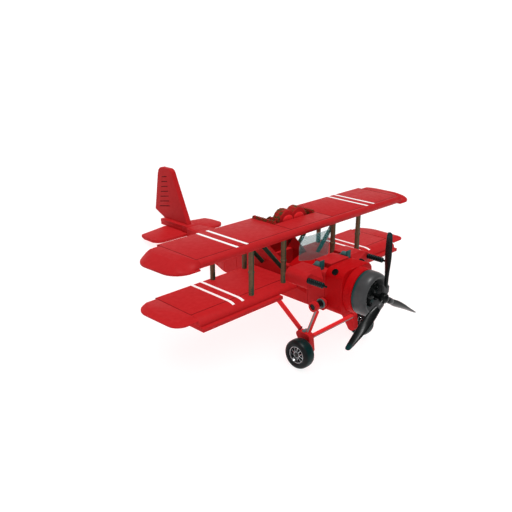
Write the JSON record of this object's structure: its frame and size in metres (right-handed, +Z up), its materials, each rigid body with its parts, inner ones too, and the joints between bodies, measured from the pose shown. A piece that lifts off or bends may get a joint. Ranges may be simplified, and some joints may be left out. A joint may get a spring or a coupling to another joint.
{
  "type": "toy biplane",
  "caption": "Brick-built red toy biplane with strutted wings, engine ring, three-bladed propeller, open cockpit and wheels, standing tail-down.",
  "frame": {"origin": "middle of the toy's bounding box, on the floor it stands on", "axes": "+Z up, nose towards -Y, wings along X, standing on wheels and tail"},
  "size_m": [0.3638, 0.3636, 0.1552],
  "materials": {
    "red": "glossy red moulded plastic",
    "brown": "brown moulded plastic",
    "dark_green": "dark green moulded plastic",
    "black": "glossy black moulded plastic",
    "grey": "grey moulded plastic",
    "clear": "clear smoky plastic",
    "tyre": "black rubber",
    "rim_silver": "bright silver spoked rim"
  },
  "bodies": {
    "airframe": {"axle_left": "grey", "axle_right": "grey", "body_front": "red", "body_rear": "red", "brace_left_front": "dark_green", "brace_left_rear": "dark_green", "brace_right_front": "dark_green", "brace_right_rear": "dark_green", "cockpit_tub": "red", "cowl": "red", "deck_plate": "red", "engine_dome": "black", "engine_ring": "black", "fin": "red", "front_deck": "red", "gear_boss_left": "red", "gear_boss_right": "red", "gear_front_left": "red", "gear_front_right": "red", "gear_hub_left": "red", "gear_hub_right": "red", "gear_rear_left": "red", "gear_rear_right": "red", "gun_box_left": "red", "gun_box_right": "red", "gun_left": "black", "gun_right": "black", "headrest": "red", "lower_tip_left": "red", "lower_tip_right": "red", "lower_wing_left": "red", "lower_wing_right": "red", "seat": "brown", "spreader_bar": "red", "stabiliser_left": "red", "stabiliser_right": "red", "strut_left_inner_front": "brown", "strut_left_inner_rear": "brown", "strut_left_outer_front": "brown", "strut_left_outer_rear": "brown", "strut_right_inner_front": "brown", "strut_right_inner_rear": "brown", "strut_right_outer_front": "brown", "strut_right_outer_rear": "brown", "tail_block": "red", "under_plate_left": "red", "under_plate_right": "red", "upper_front_edge": "red", "upper_tip_left": "red", "upper_tip_right": "red", "upper_wing_centre": "red", "upper_wing_left": "red", "upper_wing_right": "red", "windscreen": "clear"},
    "propeller": {"propeller": "black"},
    "wheel_left": {"tyre_left": "tyre", "rim_left": "rim_silver"},
    "wheel_right": {"tyre_right": "tyre", "rim_right": "rim_silver"}
  },
  "joints": [
    {"name": "propeller_turn", "type": "hinge", "parent": "airframe", "child": "propeller", "pos_m": [0, -0.16961, 0.09158], "axis": [0, -0.9622, 0.2724], "continuous": true},
    {"name": "wheel_left_turn", "type": "hinge", "parent": "airframe", "child": "wheel_left", "pos_m": [0.0504, -0.12887, 0.0152], "axis": [1, 0, 0], "continuous": true},
    {"name": "wheel_right_turn", "type": "hinge", "parent": "airframe", "child": "wheel_right", "pos_m": [-0.0504, -0.12887, 0.0152], "axis": [1, 0, 0], "continuous": true}
  ]
}
